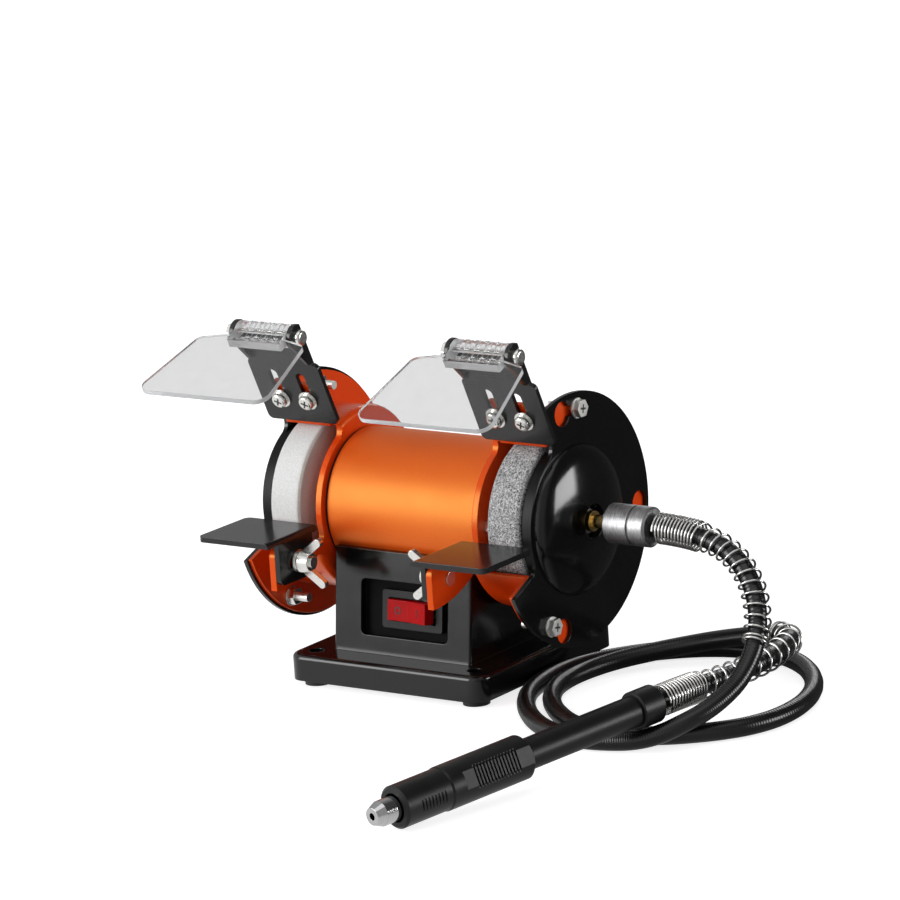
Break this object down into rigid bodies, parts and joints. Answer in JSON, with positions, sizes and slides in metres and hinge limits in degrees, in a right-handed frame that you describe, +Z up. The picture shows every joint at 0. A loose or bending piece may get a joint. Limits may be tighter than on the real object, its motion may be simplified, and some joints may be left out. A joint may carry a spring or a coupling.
{
  "type": "bench grinder",
  "caption": "Small bench grinder: orange motor on a black pedestal, guarded felt and stone wheels with rests and clear shields, and a flexible shaft with handpiece lying beside it.",
  "frame": {"origin": "centre of the four bench bolt holes, on the plane that the feet stand on", "axes": "+X along the spindle towards the flexible shaft, -Y to the front with the switch, +Z up"},
  "size_m": [0.2788, 0.2843, 0.1611],
  "materials": {
    "black_plastic": "satin moulded",
    "cover_plate": "matte moulded",
    "orange_paint": "gloss metallic",
    "black_paint": "gloss",
    "bracket_paint": "satin",
    "gasket": "matte",
    "zinc": "zinc plated",
    "steel": "turned",
    "lamination": "varnished",
    "copper": "varnished",
    "brass": "turned",
    "carbon": "pressed",
    "phenolic": "moulded",
    "felt": "matte",
    "stone": "grainy",
    "red_plastic": "gloss",
    "clear": "clear sheet",
    "aluminium": "turned",
    "hose": "satin",
    "grip_plastic": "satin"
  },
  "bodies": {
    "frame": {"base_housing": "black_plastic", "bottom_cover": "cover_plate", "bottom_cover_screws": "zinc", "ring_feet": "gasket", "cord_gland": "gasket", "switch_frame": "cover_plate", "motor_housing": "orange_paint", "housing_gaskets": "gasket", "stator_core": "lamination", "field_coils": "copper", "brush_holders": "brass", "carbon_brushes": "carbon", "bearing_left": "steel", "bearing_right": "steel", "through_bolts": "zinc", "guard_left": "orange_paint", "guard_right": "orange_paint", "cover_left": "black_paint", "cover_right": "black_paint", "cover_bolts": "zinc", "cover_nuts": "zinc", "rest_bolts": "zinc", "rest_washers": "zinc", "bracket_screws": "zinc", "flex_sleeve": "aluminium", "flex_bush": "brass", "flex_hose": "hose", "drive_spring": "steel", "hand_spring": "steel", "handpiece_tube": "grip_plastic", "handpiece_collar": "grip_plastic"},
    "spindle": {"spindle_shaft": "steel", "armature_core": "lamination", "armature_windings": "copper", "commutator": "copper", "cooling_fan": "phenolic", "wheel_flanges": "steel", "felt_wheel": "felt", "grinding_wheel": "stone", "wheel_nuts": "zinc", "drive_coupling": "brass"},
    "bracket_left": {"shield_bracket_left": "bracket_paint", "hinge_bolt_left": "zinc"},
    "bracket_right": {"shield_bracket_right": "bracket_paint", "hinge_bolt_right": "zinc"},
    "shield_left": {"eye_shield_left": "clear"},
    "shield_right": {"eye_shield_right": "clear"},
    "rest_left": {"tool_rest_left": "bracket_paint"},
    "rest_right": {"tool_rest_right": "bracket_paint"},
    "wing_left": {"wing_nut_left": "zinc"},
    "wing_right": {"wing_nut_right": "zinc"},
    "rocker": {"switch_rocker": "red_plastic"},
    "grip": {"grip_sleeve": "grip_plastic"},
    "collet": {"collet_nut": "steel", "handpiece_spindle": "steel"}
  },
  "joints": [
    {"name": "spindle_spin", "type": "hinge", "parent": "frame", "child": "spindle", "pos_m": [0, 0, 0.07425], "axis": [1, 0, 0], "continuous": true},
    {"name": "collet_spin", "type": "hinge", "parent": "frame", "child": "collet", "pos_m": [0.1143, -0.2175, 0.0087], "axis": [-0.2403, -0.9683, -0.0683], "continuous": true},
    {"name": "grip_slide", "type": "slide", "parent": "frame", "child": "grip", "axis": [0.2403, 0.9683, 0.0683], "range_m": [0, 0.004], "stiffness_N_per_m": 800},
    {"name": "rocker_tilt", "type": "hinge", "parent": "frame", "child": "rocker", "pos_m": [0.0048, -0.0307, 0.03451], "axis": [0, 0.1236, 0.9923], "range_deg": [0, 16]},
    {"name": "bracket_slide_left", "type": "slide", "parent": "frame", "child": "bracket_left", "axis": [0, -0.4099, 0.9121], "range_m": [-0.0035, 0]},
    {"name": "shield_tilt_left", "type": "hinge", "parent": "bracket_left", "child": "shield_left", "pos_m": [-0.0574, -0.04141, 0.15512], "axis": [1, 0, 0], "range_deg": [-60, 45]},
    {"name": "rest_slide_left", "type": "slide", "parent": "frame", "child": "rest_left", "axis": [0, 1, 0], "range_m": [-0.0045, 0.0035]},
    {"name": "wing_turn_left", "type": "hinge", "parent": "frame", "child": "wing_left", "pos_m": [0, -0.057, 0.0595], "axis": [1, 0, 0], "continuous": true},
    {"name": "bracket_slide_right", "type": "slide", "parent": "frame", "child": "bracket_right", "axis": [0, -0.4099, 0.9121], "range_m": [-0.0035, 0]},
    {"name": "shield_tilt_right", "type": "hinge", "parent": "bracket_right", "child": "shield_right", "pos_m": [0.0574, -0.04141, 0.15512], "axis": [1, 0, 0], "range_deg": [-60, 45]},
    {"name": "rest_slide_right", "type": "slide", "parent": "frame", "child": "rest_right", "axis": [0, 1, 0], "range_m": [-0.0045, 0.0035]},
    {"name": "wing_turn_right", "type": "hinge", "parent": "frame", "child": "wing_right", "pos_m": [0, -0.057, 0.0595], "axis": [1, 0, 0], "continuous": true}
  ],
  "couplings": [
    {"joint": "collet_spin", "follows": "spindle_spin", "ratio": 1}
  ]
}
